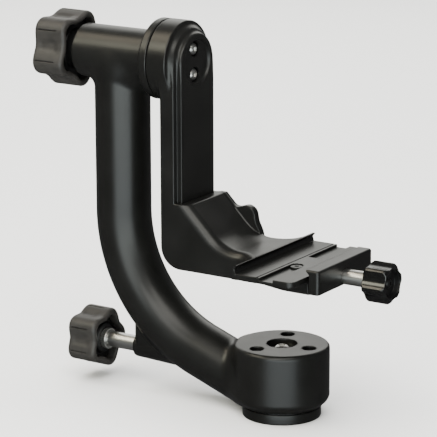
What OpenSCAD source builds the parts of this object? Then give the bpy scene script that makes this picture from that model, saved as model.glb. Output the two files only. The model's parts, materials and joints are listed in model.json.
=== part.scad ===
// Gimbal tripod head: a curved arm turns on a tripod base, and a swing arm
// with a dovetail clamp tilts from the top of it.
// The origin is the centre of the tripod face, +Z is up along the pan axis,
// and +X runs along the tilt axis from the tilt knob towards the clamp.

/* [Pan base] */
// Radius of the base plate that sits on the tripod
base_r = 23.1; // [21:0.1:27]
// Thickness of the base plate
base_h = 6; // [5:0.1:9]
// Radius of the pan spindle
spindle_r = 11; // [9:0.1:13.5]
// Depth of the tripod thread
thread_depth = 13; // [9:0.5:18]

/* [Arm housing] */
// Outer radius of the housing on the pan axis
housing_r = 28; // [26:0.1:34]
// Height of the housing's flat top above the tripod
housing_top = 42.9; // [38:0.1:52]
// Thickness of the housing's side wall
housing_wall = 5; // [3:0.1:6]
// Thickness of the housing's top, over the bearings
housing_cap = 12.4; // [11:0.1:16]
// Radius of the round recess in the top
recess_r = 8.9; // [7.5:0.1:9.6]
// Depth of the round recess in the top
recess_depth = 5.5; // [5:0.1:6.5]
// Distance of the three top screws from the pan axis
cap_screw_pitch_r = 18.3; // [17:0.1:18.6]

/* [Curved arm] */
// Distance from the pan axis to the upright tube's axis
reach = 111; // [95:1:140]
// Radius of the curved tube
tube_r = 16.5; // [13:0.1:17.5]
// Radius of the bend, along the tube's axis
bend_r = 85; // [68:1:100]
// Angle that the bend turns through
bend_angle = 70; // [62:1:74]
// Height of the tilt axis above the tripod
tilt_z = 203; // [165:1:250]
// Radius of the tilt barrel
barrel_r = 15.8; // [14:0.1:19]
// Length of the tilt barrel on the knob side of the tube's axis
barrel_back = 26; // [20:0.5:34]
// Radius of the flange where the swing arm turns
flange_r = 23.8; // [20:0.1:28]

/* [Pan lock] */
// Height of the pan lock above the tripod
lock_z = 25.5; // [22:0.1:28]
// Radius of the lock's threaded stud
stud_r = 4.8; // [4:0.1:5.4]
// Distance from the pan axis to the end of the lock's boss
boss_end = 101.5; // [90:0.5:110]
// Radius of the boss at its free end
boss_r = 7.3; // [6.5:0.1:9]
// Length of bare stud between the boss and the knob
stud_bare = 20.5; // [14:0.5:26]
// Radius over the pan lock knob's lobes
pan_knob_r = 18.6; // [15.5:0.1:22]
// Thickness of the pan lock knob
pan_knob_t = 20; // [17:0.1:24]

/* [Tilt axle and knob] */
// Radius of the tilt shaft
shaft_r = 7; // [5.5:0.1:8.5]
// Radius over the tilt knob's lobes
tilt_knob_r = 23.5; // [20:0.1:28]
// Thickness of the tilt knob
tilt_knob_t = 21.8; // [18:0.1:26]
// Gap between the barrel's end and the knob's rubber rim
tilt_knob_gap = 3; // [2.5:0.1:6]

/* [Swing arm] */
// Distance from the pan axis to the face that the swing arm turns on
seam = 78.2; // [72:0.1:84]
// Thickness of the round hub
hub_t = 13.2; // [12:0.1:16]
// Width of the arm
arm_w = 41; // [34:0.5:48]
// Thickness of the arm, without its raised rail
arm_t = 9.8; // [8:0.1:12]
// Width of the raised rail on the arm's front
rail_w = 34.4; // [28:0.2:40]
// Height that the rail stands out
rail_t = 3.4; // [2.5:0.1:5]
// Radius of the shallow round recess behind the two screws
screw_recess_r = 13.4; // [12:0.1:15]
// Half the distance between the two screws
screw_half_pitch = 7.5; // [6.5:0.1:8.5]
// Height of the arm's underside above the tripod
arm_bottom = 83; // [76:0.5:92]
// Radius of the arm's lower back corner
heel_r = 13; // [6:0.5:18]
// Height of the ledge where the gusset starts, above the clamp's top
gusset_h = 23.1; // [18:0.1:28]
// Radius of the hollow between the gusset's slope and the clamp's top
gusset_hollow_r = 25; // [15:0.5:28]

/* [Dovetail clamp] */
// Length of the clamp's lips, across the arm
clamp_w = 87; // [72:0.5:104]
// Height of the lips' top above the arm's underside
clamp_h = 16.2; // [15.5:0.1:18]
// Depth of the floor below the lips' top
floor_depth = 4.9; // [4.4:0.1:5.6]
// Distance from the pan axis to the fixed lip, on the tilt knob's side
lip_x = 3.6; // [0:0.1:8]
// Gap between the two lips as shown
lip_gap = 37.2; // [36:0.1:38.5]
// How far each lip hangs over its groove
lip_overhang = 1.7; // [1.4:0.1:2]
// Length of the movable jaw, across the arm
jaw_w = 61; // [52:0.5:72]
// Thickness of the movable jaw, at its lip
jaw_t = 8.7; // [8:0.1:10.5]
// How far the jaw can still close from the shown place
jaw_close = 2.7; // [2:0.1:2.8]
// How far the jaw can open from the shown place
jaw_open = 3.2; // [2:0.1:5]
// Thickness of the clamp's two side wings
wing_t = 3.6; // [3.2:0.1:4.4]
// Depth of the stop channel in the clamp's floor
channel_depth = 1.7; // [1:0.1:1.9]

/* [Clamp knob] */
// Radius over the clamp knob's lands
clamp_knob_r = 11.8; // [10:0.1:14]
// Length of the clamp knob
clamp_knob_l = 15; // [13:0.5:20]
// Length of bare shank between the jaw and the clamp knob
shank_bare = 15.7; // [8:0.1:18]
// Radius of the bare shank
shank_r = 4.6; // [4:0.1:5]

/* [Clearances] */
// Radial clearance of a shaft in its bush
running_gap = 0.05; // [0.03:0.01:0.09]
// Radial clearance of a piece that is seated in another
seat_gap = 0.05; // [0.03:0.01:0.1]
// Gap between faces that pass each other
face_gap = 0.3; // [0.2:0.05:0.5]
// Gap under a clamping face when it is let go
release_gap = 0.85; // [0.6:0.05:1.2]

/* [Hidden] */
$fn = 96;
bite = 1;

// Real fastener sizes
m3_r = 1.5;
m3_head_r = 3;
m4_r = 2;
m4_head_r = 3.8;
m4_head_h = 2.2;
m4_cap_r = 3.5;
m4_cap_h = 4;
m4_key_r = 1.7;
m6_r = 3;
m6_head_r = 5.5;
m6_head_h = 3.3;
m6_key_r = 2.3;
button_top_share = 0.64;
tripod_thread_r = 4;
insert_wall = 2;

// Pan stack, from the tripod up
housing_bottom = base_h + 0.4;
thrust_washer_t = 2;
carrier_bottom = base_h + thrust_washer_t;
carrier_top = housing_top - housing_cap;
recess_floor = housing_top - recess_depth;
spindle_top = carrier_top - face_gap;
neck_r = 5;
bush_wall = 2.5;
bush_r = spindle_r + running_gap;
housing_bore_r = housing_r - housing_wall;
carrier_r = housing_bore_r - seat_gap;
pan_washer_t = 1.5;
pan_washer_r = recess_r - 0.6;
cap_head_depth = 6;
cap_screw_hold = 7;
retaining_screw_hold = 11;
housing_edge = 1.6;
housing_edge_drop = 3.5;
housing_chamfer = 4.6;

// Curved arm
join_z = 19.6;
bend_rise = bend_r * sin(bend_angle);
bend_run = bend_r * (1 - cos(bend_angle));
straight_run = reach - bend_run - housing_r;
straight_drop = straight_run / tan(bend_angle);
bend_top = join_z + straight_drop + bend_rise;
barrel_end = reach + barrel_back;
flange_t = 5.5;
flange_back = seam + flange_t;
flare = 6;
disc_t = 2;
disc_in_r = shaft_r + 3.5;
disc_out_r = flange_r - 2.8;
barrel_bush_wall = 3;
barrel_bush_r = shaft_r + running_gap + barrel_bush_wall;
barrel_bush_l = 14;
barrel_relief = 1;
boss_flare = 2.6;
bend_x = -(reach - bend_r);
bend_outside = bend_r + tube_r;
web_sink = 4;
web_top = bend_top - sqrt(pow(bend_outside, 2) - pow(boss_end + bend_x, 2)) + web_sink;
web_end = bend_x - sqrt(pow(bend_outside, 2) - pow(bend_top - lock_z, 2)) + web_sink / 2;
barrel_edge = 0.8;

// Pan lock
pad_t = 3;
pad_r = stud_r;
pad_tip = spindle_r + release_gap;
stud_engaged = 32;
stud_tip = boss_end - stud_engaged;
collar_sunk = 2.8;
collar_t = 4;
collar_r = 6.6;
pan_core_r = collar_r + 2.6;
cup_depth = 5;
knob_rim = 2.2;
grip_wall = 4.2;
core_floor = 2;
cap_t = knob_rim;
cap_share = 0.36;
pan_knob_in = boss_end + stud_bare + collar_t - collar_sunk;
pan_knob_out = pan_knob_in + pan_knob_t;
lobes = 5;
lobe_share = 0.32;
valley_share = 0.81;
pan_knob_turn = 94;
tilt_knob_turn = 100;

// Tilt axle
pressure_washer_t = 1.6;
tilt_core_in = barrel_end + pressure_washer_t + 0.1;
tilt_knob_in = barrel_end + tilt_knob_gap;
tilt_knob_out = tilt_knob_in + tilt_knob_t;
shaft_thread_r = 5;
shaft_thread_from = barrel_end - 0.5;
shaft_end = tilt_knob_out - knob_rim - core_floor - 2;
shaft_flange_r = 13;
shaft_flange_t = 5;
tilt_core_r = barrel_bush_r + 1.6;

// Swing arm, in places along X
arm_back = -seam + 7.2;
arm_front = arm_back + arm_t;
rail_front = arm_front + rail_t;
hub_front = -seam + hub_t;
clamp_top = arm_bottom + clamp_h;
clamp_floor = clamp_top - floor_depth;
ledge_z = clamp_top + gusset_h;
ledge_x = arm_front + 8.9;
slope_foot = ledge_x + gusset_h;
hollow_run = gusset_hollow_r * tan(22.5);
hollow_x = slope_foot + hollow_run;
lug_r = 5.8;
lug_t = 3;
lug_back = 9.4;
lug_web = 6;
screw_recess_depth = 2;
screw_seat_depth = 4.6;

// Clamp, in places along X
fixed_lip = -lip_x;
body_end = fixed_lip + lip_gap - 0.8;
body_corner_r = 4;
jaw_lip = fixed_lip + lip_gap;
jaw_face = jaw_lip + 2.3;
jaw_back = jaw_lip + jaw_t;
lip_edge = 0.5;
jaw_bottom = arm_bottom + 2;
channel_from = fixed_lip + 15;
channel_w = 8.7;
rib_half = 10.3;
wing_back = fixed_lip - 3.6;
sweep_r = 13;
spine_half = 26;
spine_from = wing_back + 4;
spine_ease = wing_back + 18;
spine_full = wing_back + 28;
line_w = 0.3;
clamp_axis_z = arm_bottom + 6.5;
clamp_thread_r = 3;
shoulder_seat = 2;
thread_tip = body_end - 22;
guide_end = jaw_back - 1.5;
jaw_corner_r = 1.8;
jaw_edge = 0.6;
knob_in = jaw_back + shank_bare;
knob_out = knob_in + clamp_knob_l;
knob_dish = 4;
knob_wall = 3.2;
knob_tap = 7;
knob_washer_t = 0.8;
knob_edge = 1.5;
flutes = 6;
flute_r = 4.6;
guide_r = 2.5;
guide_half_pitch = 18.5;
guide_l = 26;
guide_z = clamp_axis_z - 1;
spring_r = 2.4;
spring_wire = 0.8;
spring_half_pitch = 10.5;
spring_seat = 8;
stop_screw_x = channel_from + 3.9;
stop_screw_y = 9.3;
stop_head_r = 3.6;
stop_head_h = 1.6;
stop_seat = 2.2;
stop_hold = 5;

// A cylinder along X between two places
module rod_x(x0, x1, r, r1 = undef) {
    translate([x0, 0, 0]) rotate([0, 90, 0])
        cylinder(h = x1 - x0, r1 = r, r2 = is_undef(r1) ? r : r1);
}

// A ring along X between two places
module ring_x(x0, x1, r_out, r_in) {
    difference() {
        rod_x(x0, x1, r_out);
        rod_x(x0 - bite, x1 + bite, r_in);
    }
}

// A ring along Z between two heights
module ring_z(z0, z1, r_out, r_in) {
    translate([0, 0, z0]) difference() {
        cylinder(h = z1 - z0, r = r_out);
        translate([0, 0, -bite]) cylinder(h = z1 - z0 + 2 * bite, r = r_in);
    }
}

// A block between two corners
module block(low, high) {
    translate(low) cube(high - low);
}

// A profile drawn in X and Z, pulled out evenly to both sides of Y = 0
module across(width) {
    translate([0, width / 2, 0]) rotate([90, 0, 0]) linear_extrude(width) children();
}

// A profile drawn in X and Y, raised from one height to another
module raised(z0, z1) {
    translate([0, 0, z0]) linear_extrude(z1 - z0) children();
}

// Turns a shape drawn about Z so that its +Z points along -X
module knob_frame(x, z) {
    translate([x, 0, z]) rotate([0, -90, 0]) children();
}

// The outline of a soft knob: round lobes about a round middle, the first
// at this angle from straight up towards the back
module lobed(r, turn) {
    lobe_r = r * lobe_share;
    circle(r = r * valley_share);
    for (i = [0:lobes - 1]) rotate(360 / lobes * i + turn)
        translate([r - lobe_r, 0]) circle(r = lobe_r);
}

// The hexagon socket of a screw, drawn about Z from a height down
module hex_socket(r, depth) {
    translate([0, 0, -depth]) cylinder(h = depth + bite, r = r, $fn = 6);
}

// ---- pan base, held by the tripod ----

module pan_base() {
    color("#1d1d1c") difference() {
        union() {
            cylinder(h = base_h, r = base_r);
            cylinder(h = spindle_top, r = spindle_r);
            cylinder(h = recess_floor, r = neck_r);
        }
        translate([0, 0, -bite])
            cylinder(h = thread_depth + bite, r = tripod_thread_r + insert_wall + seat_gap);
        translate([0, 0, recess_floor - retaining_screw_hold - bite])
            cylinder(h = retaining_screw_hold + 2 * bite, r = m6_r + seat_gap);
    }
}

module tripod_thread_insert() {
    color("#b9bab8") ring_z(0, thread_depth, tripod_thread_r + insert_wall, tripod_thread_r);
}

module pan_retaining_washer() {
    color("#c9cac8") ring_z(recess_floor, recess_floor + pan_washer_t, pan_washer_r, m6_r + seat_gap);
}

module pan_retaining_screw() {
    head_z = recess_floor + pan_washer_t;
    color("#cfd0ce") difference() {
        union() {
            translate([0, 0, recess_floor - retaining_screw_hold])
                cylinder(h = retaining_screw_hold + pan_washer_t, r = m6_r);
            translate([0, 0, head_z])
                cylinder(h = m6_head_h, r1 = m6_head_r, r2 = m6_head_r * button_top_share);
        }
        translate([0, 0, head_z + m6_head_h]) hex_socket(m6_key_r, 2);
    }
}

// ---- curved arm ----

module housing_outside() {
    rotate_extrude() polygon([
        [0, housing_bottom],
        [housing_r - housing_chamfer, housing_bottom],
        [housing_r, housing_bottom + housing_chamfer],
        [housing_r, housing_top - housing_edge_drop],
        [housing_r - housing_edge * 0.3, housing_top - housing_edge_drop * 0.3],
        [housing_r - housing_edge, housing_top],
        [0, housing_top]
    ]);
}

// The bend and its two straight stretches. The stretches are a hair thinner
// and start inside the bend, so that no two surfaces lie on each other.
module curved_tube() {
    straight_r = tube_r - 0.05;
    translate([bend_x, 0, bend_top]) {
        rotate([90, 0, 0]) rotate(180) rotate_extrude(angle = bend_angle)
            translate([bend_r, 0]) circle(r = tube_r);
        translate([-bend_r, 0, -bite]) cylinder(h = tilt_z - bend_top + bite, r = straight_r);
        rotate([0, -bend_angle, 0]) translate([-bend_r, 0, bite]) mirror([0, 0, 1])
            cylinder(h = (straight_run + housing_r * 0.6) / sin(bend_angle) + bite, r = straight_r);
    }
}

module barrel_outside() {
    translate([0, 0, tilt_z]) rotate([0, 90, 0]) rotate_extrude() difference() {
        polygon([
            [0, -barrel_end], [barrel_r - barrel_edge, -barrel_end], [barrel_r, -barrel_end + barrel_edge],
            [barrel_r, -flange_back - flare], [barrel_r + flare, -flange_back],
            [flange_r - barrel_edge, -flange_back], [flange_r, -flange_back + barrel_edge],
            [flange_r, -seam - face_gap], [0, -seam - face_gap]
        ]);
        translate([barrel_r + flare, -flange_back - flare]) circle(r = flare);
    }
}

module lock_boss() {
    translate([0, 0, lock_z]) {
        rod_x(-boss_end, -housing_r, boss_r, boss_r + boss_flare);
        block([-boss_end, -boss_r, 0], [web_end, boss_r, web_top - lock_z]);
    }
}

module arm_casting() {
    color("#1c1c1a") difference() {
        union() {
            housing_outside();
            difference() {
                union() {
                    curved_tube();
                    lock_boss();
                }
                block([-reach, -2 * tube_r, -3 * tube_r], [housing_r, 2 * tube_r, housing_bottom]);
            }
            barrel_outside();
        }
        // Pan bore, recess and screw holes
        translate([0, 0, housing_bottom - bite])
            cylinder(h = carrier_top - housing_bottom + bite, r = housing_bore_r);
        translate([0, 0, carrier_top - bite])
            cylinder(h = housing_cap, r = neck_r + running_gap);
        translate([0, 0, recess_floor]) cylinder(h = recess_depth + bite, r = recess_r);
        cap_screw_places() {
            translate([0, 0, housing_top - cap_head_depth])
                cylinder(h = cap_head_depth + bite, r = m4_cap_r + 0.6);
            translate([0, 0, carrier_top - bite])
                cylinder(h = housing_cap, r = m4_r + seat_gap);
        }
        // Lock bore, tapped along the boss
        translate([0, 0, lock_z]) rod_x(-boss_end - bite, -housing_bore_r + bite, stud_r + seat_gap);
        // Tilt bore, with a seat for a bush at each end
        translate([0, 0, tilt_z]) {
            rod_x(-barrel_end - bite, -seam + bite, barrel_bush_r - barrel_relief);
            rod_x(-barrel_end - bite, -barrel_end + barrel_bush_l, barrel_bush_r + seat_gap);
            rod_x(-seam - barrel_bush_l - face_gap, -seam + bite, barrel_bush_r + seat_gap);
            rod_x(-seam - disc_t, -seam + bite, disc_out_r + seat_gap);
        }
    }
}

// Three screws, even about the arm's own plane
module cap_screw_places() {
    for (a = [0, 111, -111]) rotate(a) translate([cap_screw_pitch_r, 0, 0]) children();
}

module pan_bearing_carrier() {
    color("#8d8f90") difference() {
        ring_z(carrier_bottom, carrier_top, carrier_r, bush_r + bush_wall + seat_gap);
        translate([0, 0, lock_z]) rod_x(-housing_r, 0, stud_r + 0.3);
        cap_screw_places() translate([0, 0, carrier_top - cap_screw_hold - bite])
            cylinder(h = cap_screw_hold + 2 * bite, r = m4_r + seat_gap);
    }
}

module carrier_cap_screws() {
    head_z = housing_top - cap_head_depth;
    color("#232322") cap_screw_places() difference() {
        union() {
            translate([0, 0, carrier_top - cap_screw_hold])
                cylinder(h = head_z - carrier_top + cap_screw_hold, r = m4_r);
            translate([0, 0, head_z]) cylinder(h = m4_cap_h, r = m4_cap_r);
        }
        translate([0, 0, head_z + m4_cap_h]) hex_socket(m4_key_r, 2);
    }
}

module pan_bushing() {
    color("#a8834a") difference() {
        ring_z(carrier_bottom + 0.1, carrier_top - 0.1, bush_r + bush_wall, bush_r);
        translate([0, 0, lock_z]) rod_x(-housing_r, 0, stud_r + 0.3);
    }
}

module pan_thrust_washer() {
    color("#e4e2da") ring_z(base_h, carrier_bottom, min(carrier_r, base_r) - 1, spindle_r + 0.5);
}

module tilt_bushing_front() {
    color("#a8834a") translate([0, 0, tilt_z])
        ring_x(-seam - barrel_bush_l, -seam - disc_t - 0.1, barrel_bush_r, shaft_r + running_gap);
}

module tilt_bushing_rear() {
    color("#a8834a") translate([0, 0, tilt_z])
        ring_x(-barrel_end, -barrel_end + barrel_bush_l - 0.1, barrel_bush_r, shaft_r + running_gap);
}

module tilt_friction_disc() {
    color("#d8d4c8") translate([0, 0, tilt_z])
        ring_x(-seam - disc_t, -seam, disc_out_r, disc_in_r);
}

// ---- pan lock ----

module pan_brake_pad() {
    color("#b08c4e") translate([0, 0, lock_z]) rod_x(-pad_tip - pad_t, -pad_tip, pad_r);
}

// A plain rod carries the stud's push through the arm to the pad
module pan_brake_rod() {
    color("#a9aaa8") translate([0, 0, lock_z]) rod_x(-stud_tip, -pad_tip - pad_t, pad_r);
}

module pan_lock_stud() {
    color("#d2d3d1") translate([0, 0, lock_z]) rod_x(-pan_knob_out + cap_t + core_floor, -stud_tip, stud_r);
}

module pan_knob_collar() {
    x_in = -boss_end - stud_bare;
    color("#c4c5c3") translate([0, 0, lock_z])
        ring_x(x_in - collar_t, x_in, collar_r, stud_r + seat_gap);
}

// The hard core: a thick lobed plate at the bottom of the rubber's cup, with
// a round boss from its middle. Depths count from the rubber's rim.
module soft_knob_core(r, turn, t, boss_r_, boss_from, bore_r, bore_to) {
    difference() {
        union() {
            translate([0, 0, cup_depth]) linear_extrude(t - knob_rim - cup_depth)
                lobed(r - grip_wall - 0.1, turn);
            translate([0, 0, boss_from]) cylinder(h = cup_depth - boss_from + bite, r = boss_r_);
        }
        translate([0, 0, boss_from - bite]) cylinder(h = bore_to - boss_from + bite, r = bore_r);
    }
}

// The rubber: a lobed cup over the core, open towards the arm, with a hole
// in its outer face for the cap
module soft_knob_grip(r, turn, t) {
    difference() {
        linear_extrude(t) lobed(r, turn);
        translate([0, 0, -bite]) linear_extrude(t - knob_rim + bite) lobed(r - grip_wall, turn);
        translate([0, 0, t - knob_rim - bite]) cylinder(h = knob_rim + 2 * bite, r = r * cap_share + seat_gap);
    }
}

// The cap that closes the bore, flush with the rubber's outer face
module soft_knob_cap(r) {
    translate([0, 0, -cap_t]) cylinder(h = cap_t, r = r * cap_share);
}

module pan_knob_core() {
    color("#1a1a1a") knob_frame(-pan_knob_in, lock_z)
        soft_knob_core(pan_knob_r, pan_knob_turn, pan_knob_t, pan_core_r, collar_sunk,
                       stud_r + seat_gap, pan_knob_t - cap_t - core_floor + seat_gap);
}

module pan_knob_grip() {
    color("#666662") knob_frame(-pan_knob_in, lock_z) soft_knob_grip(pan_knob_r, pan_knob_turn, pan_knob_t);
}

module pan_knob_cap() {
    color("#242423") knob_frame(-pan_knob_out, lock_z) soft_knob_cap(pan_knob_r);
}

// ---- swing arm ----

module hub() {
    translate([0, 0, tilt_z]) {
        rod_x(-seam, hub_front, flange_r);
        rod_x(hub_front - 0.01, rail_front - 1, rail_w / 2 + 4, rail_w / 2);
        rod_x(arm_back, arm_front, arm_w / 2);
        rod_x(arm_front - 0.01, rail_front, rail_w / 2);
    }
}

module upright() {
    half = arm_w / 2;
    block([arm_back, -half, arm_bottom], [arm_front + 0.01, half, tilt_z]);
    block([arm_front, -rail_w / 2, clamp_top], [rail_front, rail_w / 2, tilt_z]);
}

module gusset() {
    across(arm_w) difference() {
        polygon([
            [arm_front, arm_bottom], [wing_back, arm_bottom], [wing_back, clamp_top],
            [hollow_x, clamp_top],
            [slope_foot - hollow_run * cos(45), clamp_top + hollow_run * sin(45)],
            [ledge_x, ledge_z], [arm_front, ledge_z]
        ]);
        translate([hollow_x, clamp_top + gusset_hollow_r]) circle(r = gusset_hollow_r);
    }
}

// The fixed clamp body: a middle spine that widens, and thin wings over it
module clamp_body() {
    half = clamp_w / 2;
    raised(arm_bottom, clamp_floor) polygon([
        [wing_back - sweep_r, -arm_w / 2], [spine_from, -arm_w / 2], [spine_ease, -spine_half + 1.6],
        [spine_full, -spine_half], [body_end, -spine_half],
        [body_end, spine_half], [spine_full, spine_half],
        [spine_ease, spine_half - 1.6], [spine_from, arm_w / 2], [wing_back - sweep_r, arm_w / 2]
    ]);
    raised(clamp_floor - wing_t, clamp_floor) {
        block_2d([wing_back, -half], [body_end - body_corner_r, half]);
        block_2d([body_end - body_corner_r - bite, -half + body_corner_r], [body_end, half - body_corner_r]);
        for (s = [-1, 1]) translate([body_end - body_corner_r, s * (half - body_corner_r)]) circle(r = body_corner_r);
    }
    for (s = [-1, 1]) raised(clamp_floor - wing_t, clamp_top) lip_sweep(s);
    across(clamp_w) polygon([
        [wing_back, clamp_floor - wing_t], [fixed_lip - 1.2, clamp_floor - wing_t],
        [fixed_lip - 0.9, clamp_floor], [fixed_lip - lip_overhang, clamp_top - lip_edge - lip_overhang],
        [fixed_lip, clamp_top - lip_edge], [fixed_lip, clamp_top],
        [fixed_lip - 1, clamp_top], [wing_back, clamp_top - 2.6]
    ]);
}

module block_2d(low, high) {
    translate(low) square(high - low);
}

// The hollow sweep from the arm's side out to the back of the fixed lip
module lip_sweep(side) {
    back = wing_back - sweep_r + 1.6;
    difference() {
        block_2d(side > 0 ? [back, arm_w / 2 - bite] : [back, -arm_w / 2 - sweep_r],
                 side > 0 ? [wing_back + 1.4, arm_w / 2 + sweep_r] : [wing_back + 1.4, -arm_w / 2 + bite]);
        translate([back, side * (arm_w / 2 + sweep_r)]) circle(r = sweep_r);
    }
}

// A rounded lug on a low web, on the far side of the gusset's slope
module side_lug() {
    translate([slope_foot - lug_back, arm_w / 2 + lug_t, clamp_top + lug_back]) rotate([90, 0, 0])
        linear_extrude(lug_t + 0.5) rotate(-45) {
            translate([0, lug_r * 0.64]) circle(r = lug_r);
            polygon([
                [-lug_r - lug_web, -lug_t], [lug_r + lug_web, -lug_t], [lug_r + lug_web, 1.4],
                [lug_r * 0.86, lug_t], [-lug_r * 0.86, lug_t], [-lug_r - lug_web, 1.4]
            ]);
        }
}

module swing_arm() {
    color("#1b1b19") difference() {
        union() {
            hub();
            upright();
            gusset();
            clamp_body();
            side_lug();
        }
        // Round heel at the lower back
        across(arm_w + 2 * bite) difference() {
            block_2d([arm_back - bite, arm_bottom - bite], [arm_back + heel_r, arm_bottom + heel_r]);
            translate([arm_back + heel_r, arm_bottom + heel_r]) circle(r = heel_r);
        }
        // Pocket for the shaft's flange, screw holes and the shallow round recess
        translate([0, 0, tilt_z]) {
            rod_x(-seam - bite, -seam + shaft_flange_t, shaft_flange_r + seat_gap);
            rod_x(rail_front - screw_recess_depth, rail_front + bite, screw_recess_r);
            for (s = [-1, 1]) translate([0, 0, s * screw_half_pitch]) {
                rod_x(-seam, rail_front, m4_r + seat_gap);
                rod_x(rail_front - screw_seat_depth, rail_front + bite, m4_head_r + 0.7);
            }
        }
        // Stop channels, left solid in the middle over the clamp screw
        for (s = [-1, 1]) translate([0, s * (rib_half + clamp_w / 2), 0])
            block([channel_from, -clamp_w / 2, clamp_floor - channel_depth],
                  [channel_from + channel_w, clamp_w / 2, clamp_floor + bite]);
        // A fine line beside the channel
        translate([channel_from - 3.2, 0, clamp_floor - line_w])
            block([0, -clamp_w, 0], [line_w, clamp_w, line_w + 0.05]);
        // Stop screw, clamp screw thread, guide and spring bores
        translate([stop_screw_x, -stop_screw_y, 0]) {
            translate([0, 0, clamp_floor - stop_seat]) cylinder(h = stop_seat + bite, r = stop_head_r + 0.25);
            translate([0, 0, clamp_floor - stop_seat - stop_hold - bite])
                cylinder(h = stop_hold + 2 * bite, r = m4_r + seat_gap);
        }
        translate([0, 0, clamp_axis_z]) {
            rod_x(thread_tip - jaw_close - bite, body_end + bite, clamp_thread_r + seat_gap);
            for (s = [-1, 1]) {
                translate([0, s * guide_half_pitch, guide_z - clamp_axis_z])
                    rod_x(guide_end - guide_l - jaw_close - bite, body_end + bite, guide_r + running_gap);
                translate([0, s * spring_half_pitch, 0])
                    rod_x(body_end - spring_seat, body_end + bite, spring_r + 0.3);
            }
        }
    }
}

module swing_arm_screws() {
    head_x = rail_front - screw_seat_depth;
    color("#c8c9c7") translate([0, 0, tilt_z]) for (s = [-1, 1]) translate([0, 0, s * screw_half_pitch])
        difference() {
            union() {
                rod_x(-seam + 1.2, head_x + 0.01, m4_r);
                rod_x(head_x, head_x + m4_head_h, m4_head_r, m4_head_r * button_top_share);
            }
            translate([head_x + m4_head_h, 0, 0]) rotate([0, 90, 0]) hex_socket(m4_key_r, 1.4);
        }
}

module tilt_shaft() {
    color("#b3b4b2") translate([0, 0, tilt_z]) difference() {
        union() {
            rod_x(-shaft_end, -shaft_thread_from, shaft_thread_r);
            rod_x(-shaft_thread_from, -seam + 0.01, shaft_r);
            rod_x(-seam, -seam + shaft_flange_t, shaft_flange_r);
        }
        for (s = [-1, 1]) translate([0, 0, s * screw_half_pitch])
            rod_x(-seam + 1, -seam + shaft_flange_t + bite, m4_r + seat_gap);
    }
}

module clamp_stop_screw() {
    color("#232322") translate([stop_screw_x, -stop_screw_y, clamp_floor - stop_seat]) difference() {
        union() {
            cylinder(h = stop_head_h, r1 = stop_head_r, r2 = stop_head_r * 0.7);
            translate([0, 0, -stop_hold]) cylinder(h = stop_hold, r = m4_r);
        }
        translate([0, 0, stop_head_h]) hex_socket(1.3, 1);
    }
}

// Two springs that push the jaw open, in pockets of the clamp body
module jaw_springs() {
    color("#9a9b99") translate([0, 0, clamp_axis_z]) for (s = [-1, 1]) translate([0, s * spring_half_pitch, 0])
        ring_x(body_end - spring_seat, jaw_face, spring_r, spring_r - spring_wire);
}

// ---- tilt knob ----

module tilt_pressure_washer() {
    color("#b9bab8") translate([0, 0, tilt_z])
        ring_x(-barrel_end - pressure_washer_t, -barrel_end, barrel_bush_r + 1.2,
               shaft_thread_r + running_gap);
}

module tilt_knob_core() {
    color("#1a1a1a") knob_frame(-tilt_knob_in, tilt_z)
        soft_knob_core(tilt_knob_r, tilt_knob_turn, tilt_knob_t, tilt_core_r, tilt_core_in - tilt_knob_in,
                       shaft_r + running_gap, tilt_knob_t - knob_rim - core_floor);
}

module tilt_knob_insert() {
    color("#b08c4e") translate([0, 0, tilt_z])
        ring_x(-tilt_knob_out + knob_rim + core_floor, -barrel_end - pressure_washer_t - 1,
               shaft_r, shaft_thread_r + running_gap);
}

module tilt_knob_grip() {
    color("#666662") knob_frame(-tilt_knob_in, tilt_z) soft_knob_grip(tilt_knob_r, tilt_knob_turn, tilt_knob_t);
}

module tilt_knob_cap() {
    color("#242423") knob_frame(-tilt_knob_out, tilt_z) soft_knob_cap(tilt_knob_r);
}

// ---- movable jaw and its screw ----

module movable_jaw() {
    color("#1b1b19") difference() {
        intersection() {
            across(jaw_w) polygon([
                [jaw_face, jaw_bottom], [jaw_face, clamp_top - lip_edge - 2.3],
                [jaw_lip, clamp_top - lip_edge], [jaw_lip, clamp_top],
                [jaw_back - jaw_edge, clamp_top], [jaw_back, clamp_top - jaw_edge], [jaw_back, jaw_bottom]
            ]);
            raised(jaw_bottom - bite, clamp_top + bite) {
                block_2d([jaw_lip - bite, -jaw_w / 2], [jaw_back - jaw_corner_r, jaw_w / 2]);
                block_2d([jaw_back - jaw_corner_r - bite, -jaw_w / 2 + jaw_corner_r],
                         [jaw_back, jaw_w / 2 - jaw_corner_r]);
                for (s = [-1, 1]) translate([jaw_back - jaw_corner_r, s * (jaw_w / 2 - jaw_corner_r)])
                    circle(r = jaw_corner_r);
            }
        }
        translate([0, 0, clamp_axis_z]) {
            rod_x(jaw_face - bite, jaw_back + bite, clamp_thread_r + 0.1);
            rod_x(jaw_back - shoulder_seat, jaw_back + bite, shank_r + running_gap);
            for (s = [-1, 1]) translate([0, s * guide_half_pitch, guide_z - clamp_axis_z])
                rod_x(jaw_face - bite, guide_end, guide_r + seat_gap);
        }
    }
}

module jaw_guide_pins() {
    color("#b9bab8") for (s = [-1, 1]) translate([0, s * guide_half_pitch, guide_z])
        rod_x(guide_end - guide_l, guide_end, guide_r);
}

module clamp_screw() {
    color("#cfd0ce") translate([0, 0, clamp_axis_z]) difference() {
        union() {
            rod_x(thread_tip, jaw_back - shoulder_seat, clamp_thread_r);
            rod_x(jaw_back - shoulder_seat, knob_in, shank_r);
            rod_x(knob_in, knob_out - knob_dish, clamp_thread_r);
        }
        rod_x(knob_out - knob_dish - knob_tap, knob_out, m3_r + seat_gap);
    }
}

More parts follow.
